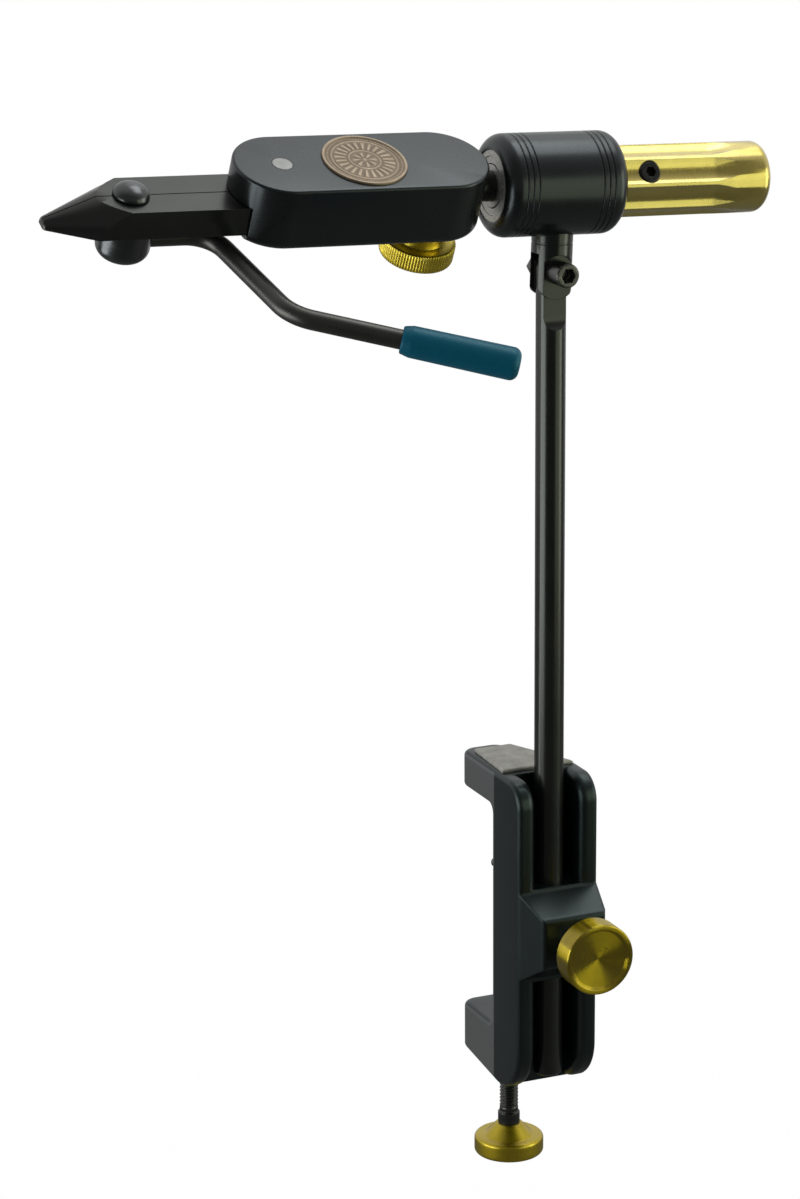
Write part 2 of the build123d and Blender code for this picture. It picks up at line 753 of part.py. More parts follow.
def lever_parts():
    """Cam pin, boss, bent rod and grip, in the head's frame."""
    at = Pos(cam_x, 0, 0)
    base = jaw_top + apart
    dome = scale(Sphere(dome_dia / 2), (1, 1, dome_height * 2 / dome_dia))
    dome = Pos(0, 0, base) * dome & rod(dome_dia + 2, base, base + dome_height + 1)
    boss_bottom_z = lever_top - lever_boss_height
    rod_under = lever_z - rod_dia / 2
    tenon_end = rod_under - 1.0
    screw_at = Pos(lever_screw_place * 0.6, -lever_screw_place * 0.8, 0)
    screw_hole = screw_at * rod(lever_screw_dia + 2 * seated, boss_bottom_z - 1, rod_under)
    cam = Pos(0, 0, lever_top) * extrude(Ellipse(cam_long / 2, cam_short / 2), base - lever_top)
    pin = dome + cam + rod(cam_tenon_dia, tenon_end, lever_top)
    cross = Pos(0, 0, lever_z) * along_x * rod(rod_dia + 2 * seated, -rod_stub - seated, lever_boss_dia)
    nodes["cam_pin"] = head_at * at * (pin - cross - screw_hole)

    boss_radius = lever_boss_dia / 2
    boss = turned(
        [(0, lever_top), (boss_radius, lever_top), (boss_radius, boss_bottom_z), (0, boss_bottom_z)],
        [0, lever_boss_top, lever_boss_round, 0],
    )
    boss -= rod(cam_tenon_dia + 2 * seated, tenon_end - seated, lever_top + 1)
    boss -= cross
    boss -= screw_hole
    nodes["lever_boss"] = head_at * at * boss

    screw = rod(lever_screw_dia, boss_bottom_z + 0.2, rod_under - seated)
    screw -= Rot(180, 0, 0) * hex_socket(lever_screw_dia / 2, 0.8, -boss_bottom_z - 0.2)
    nodes["lever_set_screw"] = head_at * at * screw_at * screw

    first = Vector(rod_first, 0)
    second = first + Vector(rod_second, 0).rotate(Axis.Z, rod_first_angle)
    heading = rod_first_angle + rod_second_angle
    end = second + Vector(rod_third, 0).rotate(Axis.Z, heading)
    rod_end = second + Vector(rod_third - grip_wall_end, 0).rotate(Axis.Z, heading)
    path = FilletPolyline(
        (-rod_stub, 0), first, second, rod_end, radius=[rod_first_round, rod_second_round]
    )
    section = Plane((-rod_stub, 0, 0), z_dir=(1, 0, 0)) * Circle(rod_dia / 2)
    bar = sweep(section, path)
    lever_at = head_at * at * Pos(0, 0, lever_z)
    nodes["lever_rod"] = lever_at * bar

    front = grip_front_dia / 2
    back = grip_dia / 2
    bore = rod_dia / 2 + seated
    grip = turned(
        [
            (bore, -grip_length),
            (front - 0.7, -grip_length),
            (front, -grip_length + grip_taper),
            (back, -grip_taper),
            (back, 0),
            (0, 0),
            (0, -grip_wall_end + seated),
            (bore, -grip_wall_end + seated),
        ],
        [0, 0.6, 2.0, 0, grip_round, 0, 0, 0],
    )
    nodes["lever_grip"] = lever_at * Pos(*end) * Rot(0, 0, heading) * along_x * grip


def thumb_parts():
    """Knurled thumb knob, its screw and the pad under the shaft, in the head's frame."""
    at = head_at * Pos(thumb_x, 0, 0)
    pad_top = -bearing_bore / 2 - apart
    pad_bottom = pad_top - thumb_pad_thick
    hub_top = head_bottom - 2 * apart
    rim_top = hub_top - thumb_hub
    rim_bottom = rim_top - thumb_rim
    screw_bottom = rim_bottom + 1.5
    nodes["thumb_pad"] = at * rod(screw_dia, pad_bottom, pad_top)
    nodes["thumb_screw"] = at * rod(screw_dia, screw_bottom, pad_bottom - running)
    bore = screw_dia / 2 + seated
    hub = thumb_hub_dia / 2
    edge = knob_dia / 2
    knob = turned(
        [
            (bore, hub_top),
            (hub, hub_top),
            (hub, rim_top),
            (edge, rim_top),
            (edge, rim_bottom),
            (0, rim_bottom),
            (0, screw_bottom - seated),
            (bore, screw_bottom - seated),
        ],
        [0, 0.6, 0.8, 0.7, 0.9, 0, 0, 0],
    )
    nodes["thumb_knob"] = at * knob


nodes["clamp_body"] = clamp_body()
nodes["top_plate"] = top_plate()
clamp_screw_parts()
nodes["stem"] = stem()
nodes["stem_bush"] = stem_bush()
stem_lock_parts()
knuckle_parts()
nodes["barrel_housing"] = barrel_at * barrel_housing()
bearing_middle = barrel_length / 2 - bearing_sunk - bearing_width / 2
bearing("front", barrel_offset - bearing_middle)
bearing("rear", barrel_offset + bearing_middle)
rotary_parts()
head_parts()
nodes["near_jaw"] = jaw(-1)
nodes["far_jaw"] = jaw(1)
nodes["jaw_spring"] = jaw_spring()
lever_parts()
thumb_parts()

os.makedirs("parts", exist_ok=True)
for name, shape in nodes.items():
    export_step(shape, "parts/" + name + ".step")
    print(name, len(shape.solids()), round(shape.volume, 1))
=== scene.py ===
import math
import bpy
import numpy as np
from mathutils import Matrix, Vector


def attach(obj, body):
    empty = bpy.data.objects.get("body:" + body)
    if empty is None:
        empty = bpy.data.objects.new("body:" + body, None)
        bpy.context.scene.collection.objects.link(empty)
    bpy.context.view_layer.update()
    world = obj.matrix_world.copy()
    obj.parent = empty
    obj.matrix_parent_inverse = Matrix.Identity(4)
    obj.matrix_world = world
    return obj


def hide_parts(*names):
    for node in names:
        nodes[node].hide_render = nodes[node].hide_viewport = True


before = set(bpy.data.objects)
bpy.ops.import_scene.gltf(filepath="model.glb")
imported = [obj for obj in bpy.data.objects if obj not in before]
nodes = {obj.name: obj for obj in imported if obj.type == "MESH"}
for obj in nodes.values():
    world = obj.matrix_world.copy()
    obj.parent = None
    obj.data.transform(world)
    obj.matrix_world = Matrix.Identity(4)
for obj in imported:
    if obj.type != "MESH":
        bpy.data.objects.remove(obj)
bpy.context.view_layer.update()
mm = 0.001
print("frame loaded:", len(nodes), "nodes")

# How the vise stands, in millimetres and degrees; x places are along the rotary axis
stance = {
    "stemY": -30.0, "lockHeight": -38.0, "boltHeight": 177.7, "axisRise": 26.9, "tilt": 2.07, "roll": 24.84,
    "thumbX": -41.9, "discX": -65.9, "pinX": -92.4, "camX": -138.6,
}


# A place on the head, x along the rotary axis; a piece turned along the shaft has its Z laid on that axis
def headPlace(x, alongShaft=False):
    place = Matrix.Translation((0, stance["stemY"] * mm, stance["boltHeight"] * mm))
    place = place @ Matrix.Rotation(math.radians(stance["tilt"]), 4, "Y")
    place = place @ Matrix.Translation((0, 0, stance["axisRise"] * mm))
    place = place @ Matrix.Rotation(math.radians(stance["roll"]), 4, "X")
    place = place @ Matrix.Translation((x * mm, 0, 0))
    if alongShaft:
        place = place @ Matrix.Rotation(math.radians(90), 4, "Y")
    return place


# A place on the stem's axis with its Z pointing to the front
def frontPlace(height):
    place = Matrix.Translation((0, stance["stemY"] * mm, height * mm))
    return place @ Matrix.Rotation(math.radians(90), 4, "X")


footPlace = Matrix.Identity(4)
lockPlace = frontPlace(stance["lockHeight"])
boltPlace = frontPlace(stance["boltHeight"])
shaftPlace = headPlace(0, alongShaft=True)
thumbPlace = headPlace(stance["thumbX"])
discPlace = headPlace(stance["discX"])
pinPlace = headPlace(stance["pinX"])
camPlace = headPlace(stance["camX"])


# A node with its values: a number, a colour or another node's socket
def addNode(tree, kind, values=None, **props):
    node = tree.nodes.new("ShaderNode" + kind)
    for key, value in props.items():
        setattr(node, key, value)
    for key, value in (values or {}).items():
        if isinstance(value, bpy.types.NodeSocket):
            tree.links.new(value, node.inputs[key])
        else:
            node.inputs[key].default_value = value
    return node


def useGroup(tree, group, values):
    return addNode(tree, "Group", values, node_tree=group)


def colourMix(tree, amount, first, second):
    return addNode(tree, "Mix", {0: amount, 6: first, 7: second}, data_type="RGBA").outputs[2]


def multiply(tree, first, second):
    return addNode(tree, "Math", {0: first, 1: second}, operation="MULTIPLY").outputs[0]


def add(tree, first, second):
    return addNode(tree, "Math", {0: first, 1: second}, operation="ADD").outputs[0]


# A value carried from one span, start to end, to another, low to high
def ramp(tree, value, span, low=0.0, high=1.0, **props):
    values = {"Value": value, 1: span[0], 2: span[1], 3: low, 4: high}
    return addNode(tree, "MapRange", values, **props).outputs[0]


def addBump(tree, height, strength, depth, normal):
    values = {"Height": height, "Strength": strength, "Distance": depth, "Normal": normal}
    return addNode(tree, "Bump", values).outputs[0]


def opaque(colour):
    return (colour[0], colour[1], colour[2], 1.0)


def newGroup(name, inputs, outputs):
    group = bpy.data.node_groups.new(name, "ShaderNodeTree")
    for label, kind, value in inputs:
        socket = group.interface.new_socket(label, in_out="INPUT", socket_type="NodeSocket" + kind)
        if value is not None:
            socket.default_value = value
    for label, kind in outputs:
        group.interface.new_socket(label, in_out="OUTPUT", socket_type="NodeSocket" + kind)
    return group, group.nodes.new("NodeGroupInput"), group.nodes.new("NodeGroupOutput")


latheMarks = {
    "fineDetail": 4.0, "fineRough": 0.65, "broadScale": 900.0, "broadDetail": 2.0, "shade": (0.35, 0.65),
}


# Lines left by a lathe: noise over distance from the axis and along it, the same all the way round
def turnedLinesGroup():
    spec = latheMarks
    group, start, end = newGroup(
        "turnedLines",
        [("Vector", "Vector", None), ("Lines", "Float", 4000.0)],
        [("Height", "Float"), ("Shade", "Float")],
    )
    parts = addNode(group, "SeparateXYZ", {0: start.outputs["Vector"]})
    flat = addNode(group, "CombineXYZ", {0: parts.outputs[0], 1: parts.outputs[1]})
    reach = addNode(group, "VectorMath", {0: flat.outputs[0]}, operation="LENGTH")
    lathe = addNode(group, "CombineXYZ", {0: reach.outputs["Value"], 1: parts.outputs[2]}).outputs[0]
    fine = addNode(group, "TexNoise", {
        "Vector": lathe, "Scale": start.outputs["Lines"], "Detail": spec["fineDetail"],
        "Roughness": spec["fineRough"],
    })
    broad = addNode(group, "TexNoise", {
        "Vector": lathe, "Scale": spec["broadScale"], "Detail": spec["broadDetail"],
    })
    group.links.new(fine.outputs[0], end.inputs["Height"])
    group.links.new(broad.outputs[0], end.inputs["Shade"])
    return group


wearAndHighlightSpec = {"samples": 4, "facing": (0.995, 0.8), "patchDetail": 5.0, "patch": (0.36, 0.62)}


# Edges bare from wear on most finishes; on the bolt and nut the pale edge is a painted highlight
# Bare or lighter edges: how far a rounded normal leaves the true one, broken up by noise
def wearAndHighlightEdgeGroup():
    spec = wearAndHighlightSpec
    group, start, end = newGroup(
        "wearAndHighlightEdge",
        [("Vector", "Vector", None), ("Width", "Float", 0.0004), ("Patches", "Float", 300.0)],
        [("Mask", "Float"), ("Normal", "Vector")],
    )
    soft = addNode(group, "Bevel", {"Radius": start.outputs["Width"]}, samples=spec["samples"]).outputs[0]
    sharp = addNode(group, "NewGeometry").outputs["Normal"]
    facing = addNode(group, "VectorMath", {0: soft, 1: sharp}, operation="DOT_PRODUCT").outputs["Value"]
    patch = addNode(group, "TexNoise", {
        "Vector": start.outputs["Vector"], "Scale": start.outputs["Patches"], "Detail": spec["patchDetail"],
    }).outputs[0]
    mask = multiply(group, ramp(group, facing, spec["facing"]), ramp(group, patch, spec["patch"]))
    group.links.new(mask, end.inputs["Mask"])
    group.links.new(soft, end.inputs["Normal"])
    return group


skinGrain = {
    "fineDetail": 3.0, "cloudDetail": 6.0, "cloudRough": 0.6, "cloud": (0.3, 0.7), "speckScale": 700.0,
    "speck": (0.1, 0.04),
}


# Fine grain of a coating or blasted skin, the broad cloudiness of handling over it, and specks of dust
def grainGroup():
    spec = skinGrain
    group, start, end = newGroup(
        "grain",
        [("Vector", "Vector", None), ("Fine", "Float", 3000.0), ("Broad", "Float", 60.0)],
        [("Height", "Float"), ("Cloud", "Float"), ("Speck", "Float")],
    )
    where = start.outputs["Vector"]
    fine = addNode(group, "TexNoise", {
        "Vector": where, "Scale": start.outputs["Fine"], "Detail": spec["fineDetail"],
    })
    cloud = addNode(group, "TexNoise", {
        "Vector": where, "Scale": start.outputs["Broad"], "Detail": spec["cloudDetail"],
        "Roughness": spec["cloudRough"],
    })
    dust = addNode(group, "TexVoronoi", {"Vector": where, "Scale": spec["speckScale"]})
    group.links.new(fine.outputs[0], end.inputs["Height"])
    group.links.new(ramp(group, cloud.outputs[0], spec["cloud"]), end.inputs["Cloud"])
    group.links.new(ramp(group, dust.outputs["Distance"], spec["speck"]), end.inputs["Speck"])
    return group


turnedLines = turnedLinesGroup()
wearAndHighlightEdge = wearAndHighlightEdgeGroup()
grain = grainGroup()


# Lathe lines about a place: they swing the roughness and raise a fine bump
def addLatheLines(tree, look, place, where, rough, normal):
    local = addNode(
        tree,
        "Mapping",
        {"Vector": where, "Location": place.to_translation(), "Rotation": place.to_euler("XYZ")},
        vector_type="TEXTURE",
    ).outputs[0]
    lines = useGroup(tree, turnedLines, {"Vector": local, "Lines": look["lines"]})
    swing = look["lineShade"]
    shade = ramp(tree, lines.outputs["Shade"], latheMarks["shade"], -swing, swing)
    normal = addBump(tree, lines.outputs["Height"], look["lineStrength"], look["lineDepth"], normal)
    return add(tree, rough, shade), normal


# Brushed metal: the tangent runs round the place's axis, as the axis crossed with the way out from it
def addBrushing(tree, look, place, where, shader):
    axis = place.to_3x3() @ Vector((0, 0, 1))
    out = addNode(tree, "VectorMath", {0: where, 1: place.to_translation()}, operation="SUBTRACT").outputs[0]
    around = addNode(tree, "VectorMath", {0: axis, 1: out}, operation="CROSS_PRODUCT").outputs[0]
    tangent = addNode(
        tree, "VectorTransform", {0: around}, vector_type="VECTOR", convert_from="OBJECT", convert_to="WORLD"
    ).outputs[0]
    tree.links.new(tangent, shader.inputs["Tangent"])
    shader.inputs["Anisotropic"].default_value = look["brushed"]
    shader.inputs["Anisotropic Rotation"].default_value = 0.25  # a quarter turn, across the lathe lines


# Painted light on the arms' flanks: faces that look to the left, from a set depth backwards, get a paler tone
def paintedFlankLightMask(tree, look, coords):
    across = addNode(tree, "SeparateXYZ", {0: coords.outputs["Normal"]}).outputs[0]
    depth = addNode(tree, "SeparateXYZ", {0: coords.outputs["Object"]}).outputs[1]
    return multiply(tree, ramp(tree, across, look["flankFacing"]), ramp(tree, depth, look["flankDepth"]))


# One finish: two tones clouded together, grain, lighter edges, and lathe lines where it was turned
def makeFinish(name, look, place=None):
    material = bpy.data.materials.new(name)
    material.use_nodes = True
    tree = material.node_tree
    shader = tree.nodes["Principled BSDF"]
    coords = addNode(tree, "TexCoord")
    where = coords.outputs["Object"]
    skin = useGroup(tree, grain, {"Vector": where, "Fine": look["fine"], "Broad": look["broad"]})
    edge = useGroup(tree, wearAndHighlightEdge, {
        "Vector": where, "Width": look["edgeWidth"], "Patches": look["patches"],
    })
    colour = colourMix(tree, skin.outputs["Cloud"], opaque(look["tone"]), opaque(look["toneB"]))
    # Lighter edges: wear, and on the bolt and nut a painted highlight
    wearAndHighlightAmount = multiply(tree, edge.outputs["Mask"], look["edgeAmount"])
    colour = colourMix(tree, wearAndHighlightAmount, colour, opaque(look["edgeTone"]))
    dusty = multiply(tree, skin.outputs["Speck"], look["dust"])
    colour = colourMix(tree, dusty, colour, opaque(look["dustTone"]))
    rough = ramp(tree, skin.outputs["Cloud"], (0.0, 1.0), *look["rough"])
    normal = addBump(
        tree, skin.outputs["Height"], look["grainStrength"], look["grainDepth"], edge.outputs["Normal"]
    )
    if place is not None:
        rough, normal = addLatheLines(tree, look, place, where, rough, normal)
        if "brushed" in look:
            addBrushing(tree, look, place, where, shader)
    # Painted light: the arms' left-facing flanks are painted paler, as if lit from the left
    if "flankPaintedLight" in look:
        colour = colourMix(tree, paintedFlankLightMask(tree, look, coords), colour, opaque(look["flankPaintedLight"]))
    if "lowTone" in look:
        raised = addNode(tree, "Attribute", attribute_name="relief").outputs["Fac"]
        colour = colourMix(tree, raised, opaque(look["lowTone"]), colour)
    tree.links.new(colour, shader.inputs["Base Color"])
    tree.links.new(rough, shader.inputs["Roughness"])
    tree.links.new(normal, shader.inputs["Normal"])
    shader.inputs["Metallic"].default_value = look["metallic"]
    shader.inputs["Specular IOR Level"].default_value = look["specular"]
    shader.inputs["Specular Tint"].default_value = opaque(look["glint"])
    shader.inputs["Coat Weight"].default_value = look["coat"]
    shader.inputs["Coat Roughness"].default_value = look["coatRough"]
    shader.inputs["Coat IOR"].default_value = look["coatIor"]
    return material


# What a finish has unless it says otherwise; lengths in metres, fine, broad, patches and lines per metre
plainFinish = {
    "specular": 0.5, "glint": (1.0, 1.0, 1.0), "coat": 0.0, "coatRough": 0.16, "coatIor": 1.9,
    "dust": 0.02, "dustTone": (0.5, 0.49, 0.46), "grainDepth": 0.00001, "lineDepth": 0.00001,
    "lineShade": 0.04,
}
castBlack = {
    **plainFinish, "tone": (0.0036, 0.0058, 0.0058), "toneB": (0.0052, 0.0076, 0.0078), "metallic": 0.0,
    "rough": (0.28, 0.33), "fine": 2600.0, "broad": 45.0, "grainStrength": 0.12, "grainDepth": 0.00002,
    "edgeWidth": 0.0011, "patches": 220.0, "edgeAmount": 0.2, "edgeTone": (0.045, 0.048, 0.048),
    "specular": 0.45, "glint": (0.78, 1.0, 0.97),
    # the flank tone is painted light on the arms' left-facing sides
    "flankPaintedLight": (0.085, 0.088, 0.087), "flankFacing": (-0.75, -0.93), "flankDepth": (-0.0188, -0.0182),
}
anodisedBlack = {
    **plainFinish, "tone": (0.0052, 0.0066, 0.0064), "toneB": (0.0070, 0.0086, 0.0084), "metallic": 0.0,
    "rough": (0.25, 0.29), "fine": 4200.0, "broad": 40.0, "grainStrength": 0.025,
    "edgeWidth": 0.0004, "patches": 260.0, "edgeAmount": 0.2, "edgeTone": (0.05, 0.053, 0.054),
    "dust": 0.006, "lines": 3600.0, "lineStrength": 0.03, "lineShade": 0.006,
    "specular": 0.55, "glint": (0.88, 0.98, 1.0),
}
blackOxide = {
    **plainFinish, "tone": (0.0060, 0.0070, 0.0066), "toneB": (0.0092, 0.0100, 0.0092), "metallic": 0.0,
    "rough": (0.21, 0.27), "fine": 3200.0, "broad": 70.0, "grainStrength": 0.015,
    "edgeWidth": 0.0003, "patches": 240.0, "edgeAmount": 0.3, "edgeTone": (0.10, 0.10, 0.095),
    "dust": 0.015, "lines": 5200.0, "lineStrength": 0.06, "specular": 0.6, "glint": (0.97, 1.0, 0.93),
}
# Bolt and nut: the pale edge tone at full amount is a painted highlight round the rims and the socket
boltOxidePaintedRim = {
    **blackOxide, "specular": 0.9, "edgeWidth": 0.0006, "edgeAmount": 1.0, "edgeTone": (0.48, 0.45, 0.35),
}
rodOxide = {**blackOxide, "specular": 0.9, "rough": (0.33, 0.39), "glint": (1.0, 0.97, 0.88)}
camOxide = {**blackOxide, "specular": 1.0, "rough": (0.20, 0.25), "glint": (0.94, 0.98, 1.0)}
turnedBrass = {
    **plainFinish, "tone": (0.67, 0.53, 0.085), "toneB": (0.58, 0.45, 0.045), "metallic": 1.0,
    "rough": (0.21, 0.28), "fine": 2400.0, "broad": 90.0, "grainStrength": 0.02,
    "edgeWidth": 0.0004, "patches": 260.0, "edgeAmount": 0.4, "edgeTone": (0.74, 0.66, 0.24),
    "dust": 0.015, "lines": 2600.0, "lineStrength": 0.04, "lineShade": 0.02, "lineDepth": 0.00002,
    "coat": 1.0, "coatRough": 0.2, "brushed": 0.9,
}
knobBrass = {
    **turnedBrass, "tone": (0.45, 0.335, 0.008), "toneB": (0.38, 0.28, 0.005), "rough": (0.28, 0.33),
    "broad": 120.0, "grainStrength": 0.03, "edgeWidth": 0.0003, "edgeAmount": 0.3,
    "edgeTone": (0.70, 0.60, 0.12), "coat": 0.3, "coatRough": 0.24, "brushed": 1.0,
}
footBrass = {
    **knobBrass, "tone": (0.50, 0.375, 0.010), "toneB": (0.43, 0.32, 0.006), "rough": (0.34, 0.42),
    "brushed": 0.2,
}
# Thumb knob brass: the foot's brass made brighter, painted light against the shade under the head
thumbBrassPaintedLight = {**footBrass, "tone": (0.74, 0.58, 0.05), "toneB": (0.66, 0.50, 0.03)}
brightSteel = {
    **plainFinish, "tone": (0.46, 0.46, 0.45), "toneB": (0.36, 0.36, 0.355), "metallic": 1.0,
    "rough": (0.26, 0.36), "fine": 3000.0, "broad": 120.0, "grainStrength": 0.1,
    "edgeWidth": 0.0003, "patches": 260.0, "edgeAmount": 0.3, "edgeTone": (0.7, 0.7, 0.7),
    "lines": 6000.0, "lineStrength": 0.25,
}
# Bearing steel: pale and half diffuse, brighter than bare steel as painted light, for the head shades the
# bearing's face
bearingChromePaintedLight = {
    **plainFinish, "tone": (0.70, 0.69, 0.64), "toneB": (0.56, 0.55, 0.51), "metallic": 0.5,
    "rough": (0.26, 0.36), "fine": 2600.0, "broad": 200.0, "grainStrength": 0.2,
    "edgeWidth": 0.0003, "patches": 300.0, "edgeAmount": 0.4, "edgeTone": (0.8, 0.8, 0.78),
    "lines": 5000.0, "lineStrength": 0.3,
}
mattSteel = {
    **plainFinish, "tone": (0.36, 0.36, 0.345), "toneB": (0.30, 0.30, 0.285), "metallic": 0.7,
    "rough": (0.46, 0.56), "fine": 2600.0, "broad": 260.0, "grainStrength": 0.3, "grainDepth": 0.00002,
    "edgeWidth": 0.0002, "patches": 300.0, "edgeAmount": 0.2, "edgeTone": (0.4, 0.4, 0.39),
    "lines": 5000.0, "lineStrength": 0.3,
}
agedBronze = {
    **plainFinish, "tone": (0.40, 0.315, 0.225), "toneB": (0.33, 0.26, 0.18), "metallic": 0.7,
    "rough": (0.36, 0.46), "fine": 1800.0, "broad": 300.0, "grainStrength": 0.25, "grainDepth": 0.00003,
    "edgeWidth": 0.0003, "patches": 420.0, "edgeAmount": 0.8, "edgeTone": (0.56, 0.45, 0.25),
    "lines": 2400.0, "lineStrength": 0.1, "lowTone": (0.15, 0.113, 0.075),
}
plateGrey = {
    **plainFinish, "tone": (0.36, 0.35, 0.31), "toneB": (0.25, 0.243, 0.22), "metallic": 0.25,
    "rough": (0.45, 0.58), "fine": 1800.0, "broad": 240.0, "grainStrength": 0.3, "grainDepth": 0.00003,
    "edgeWidth": 0.0006, "patches": 300.0, "edgeAmount": 0.9, "edgeTone": (0.75, 0.73, 0.66), "dust": 0.1,
}
tealVinyl = {
    **plainFinish, "tone": (0.0030, 0.108, 0.180), "toneB": (0.0026, 0.090, 0.152), "metallic": 0.0,
    "rough": (0.36, 0.44), "fine": 1900.0, "broad": 110.0, "grainStrength": 0.15, "grainDepth": 0.00003,
    "edgeWidth": 0.0006, "patches": 180.0, "edgeAmount": 0.15, "edgeTone": (0.02, 0.13, 0.20),
    "specular": 0.4, "glint": (0.4, 0.9, 1.0),
}
bushNylon = {
    **plainFinish, "tone": (0.02, 0.02, 0.02), "toneB": (0.03, 0.03, 0.03), "metallic": 0.0,
    "rough": (0.5, 0.6), "fine": 2000.0, "broad": 80.0, "grainStrength": 0.2, "grainDepth": 0.00002,
    "edgeWidth": 0.0004, "patches": 200.0, "edgeAmount": 0.2, "edgeTone": (0.08, 0.08, 0.08), "dust": 0.0,
}

# Which finish each piece has, and the place that it was turned about
dressing = [
    ("castSkinPaintedFlanks", castBlack, None, ["clamp_body"]),
    ("headSkin", anodisedBlack, None, ["head_body"]),
    ("barrelSkin", anodisedBlack, shaftPlace, ["barrel_housing"]),
    ("barePlate", plateGrey, None, ["top_plate"]),
    ("stemOxide", blackOxide, None, ["stem"]),
    ("screwOxide", blackOxide, footPlace, ["clamp_screw", "clamp_swivel_pad"]),
    ("knuckleOxide", blackOxide, None, ["knuckle_post"]),
    ("boltOxidePaintedRim", boltOxidePaintedRim, boltPlace, ["knuckle_bolt", "knuckle_nut"]),
    ("shaftOxide", blackOxide, shaftPlace, ["rotary_shaft", "handle_set_screw"]),
    ("jawOxide", blackOxide, None, ["near_jaw", "far_jaw", "lever_set_screw"]),
    ("rodOxide", rodOxide, None, ["lever_rod"]),
    ("camOxide", camOxide, camPlace, ["cam_pin", "lever_boss"]),
    ("footBrass", footBrass, footPlace, ["clamp_screw_knob"]),
    ("lockBrass", knobBrass, lockPlace, ["stem_lock_knob", "stem_lock_pad"]),
    ("handleBrass", turnedBrass, shaftPlace, ["rotary_handle", "front_ball_cage", "rear_ball_cage"]),
    ("thumbBrassPaintedLight", thumbBrassPaintedLight, thumbPlace, ["thumb_knob", "thumb_pad"]),
    ("bearingSteelPaintedLight", bearingChromePaintedLight, shaftPlace, [
        "front_bearing_outer_ring", "front_bearing_inner_ring", "front_bearing_balls",
        "front_bearing_shields", "rear_bearing_outer_ring", "rear_bearing_inner_ring", "rear_bearing_balls",
        "rear_bearing_shields", "bearing_spacer",
    ]),
    ("pinSteel", mattSteel, pinPlace, ["jaw_pivot_pin", "jaw_spring"]),
    ("lockSteel", brightSteel, lockPlace, ["stem_lock_screw"]),
    ("thumbSteel", brightSteel, thumbPlace, ["thumb_screw"]),
    ("discBronze", agedBronze, discPlace, ["head_disc"]),
    ("gripVinyl", tealVinyl, None, ["lever_grip"]),
    ("linerNylon", bushNylon, None, ["stem_bush"]),
]
shading = {"weld": 0.000001, "hardEdge": 28}
finishes = {}
for finishName, look, place, names in dressing:
    finishes[finishName] = makeFinish(finishName, look, place)
    for nodeName in names:
        mesh = nodes[nodeName].data
        mesh.materials.clear()
        mesh.materials.append(finishes[finishName])
        mesh.polygons.foreach_set("use_smooth", np.ones(len(mesh.polygons), dtype=bool))
        weld = nodes[nodeName].modifiers.new("weld", "WELD")
        weld.merge_threshold = shading["weld"]
        split = nodes[nodeName].modifiers.new("hardEdges", "EDGE_SPLIT")
        split.split_angle = math.radians(shading["hardEdge"])
print("finishes made:", len(finishes))


# One value for each point of a surface whose first and last rows each meet in a point on the axis
def closedRows(grid):
    middle = grid[1:-1].reshape((-1,) + grid.shape[2:])
    return np.concatenate([grid[0, :1], middle, grid[-1, :1]])


# Mesh from a grid of points: bands between the rows round the axis, and a fan of triangles at each end
def closedSurface(name, grid):
    rows, columns = grid.shape[:2]
    ring = 1 + np.arange((rows - 2) * columns).reshape(rows - 2, columns)
    after = np.roll(ring, -1, axis=1)
    firstPoint = np.zeros(columns, dtype=int)
    lastPoint = firstPoint + ring[-1, -1] + 1
    startFan = np.stack([firstPoint, after[0], ring[0]], axis=-1)
    bands = np.stack([ring[:-1], after[:-1], after[1:], ring[1:]], axis=-1).reshape(-1, 4)
    endFan = np.stack([ring[-1], after[-1], lastPoint], axis=-1)
    mesh = bpy.data.meshes.new(name)
    mesh.from_pydata(closedRows(grid).tolist(), [], startFan.tolist() + bands.tolist() + endFan.tolist())
    mesh.polygons.foreach_set("use_smooth", np.ones(len(mesh.polygons), dtype=bool))
    mesh.update()
    piece = bpy.data.objects.new(name, mesh)
    bpy.context.scene.collection.objects.link(piece)
    return piece


# Points of a profile, given as (radius, height) corners, spread evenly with at most a set step between them
def denseProfile(corners, step):
    corners = np.array(corners, float)
    pieces = [corners[:1]]
    for a, b in zip(corners[:-1], corners[1:]):
        count = max(1, int(math.ceil(np.linalg.norm(b - a) / step)))
        pieces.append(a + (b - a) * (np.arange(1, count + 1) / count)[:, None])
    return np.concatenate(pieces)


def setAt(points, place):
    matrix = np.array(place)
    return points @ matrix[:3, :3].T + matrix[:3, 3]


# A profile carried round the Z axis: x and y are radius by cosine and sine of angle, z is height
def turnedGrid(profile, columns, relief=None):
    angle = np.linspace(0, 2 * np.pi, columns, endpoint=False)
    radius = np.repeat(profile[:, :1], columns, axis=1)
    height = np.repeat(profile[:, 1:], columns, axis=1)
    if relief is not None:
        radius = radius + relief(angle[None, :], radius, height)
    return np.stack([radius * np.cos(angle), radius * np.sin(angle), height], axis=-1) * mm


# Corners are (radius, height) in millimetres along the screw, from its lower or inner end
clampThread = {
    "depth": 0.54, "pitch": 1.27, "top": -30.3, "bottom": -114.6, "fade": 1.4, "rootFlat": 0.12,
    "flank": 0.72, "columns": 40, "rowsPerTurn": 9, "hardEdge": 40,
    "corners": [
        (0, -128.96), (3.15, -128.96), (3.15, -120.06), (3.7, -120.06), (3.7, -116.21), (3.15, -115.66),
        (3.15, -29.35), (2.15, -29.35), (2.15, -27.45), (0, -27.45),
    ],
}
lockThread = {
    **clampThread, "depth": 0.66, "top": 29.0, "bottom": 9.6, "fade": 1.2,
    "corners": [(0, 8.96), (3.15, 8.96), (3.15, 35.1), (0, 35.1)],
}


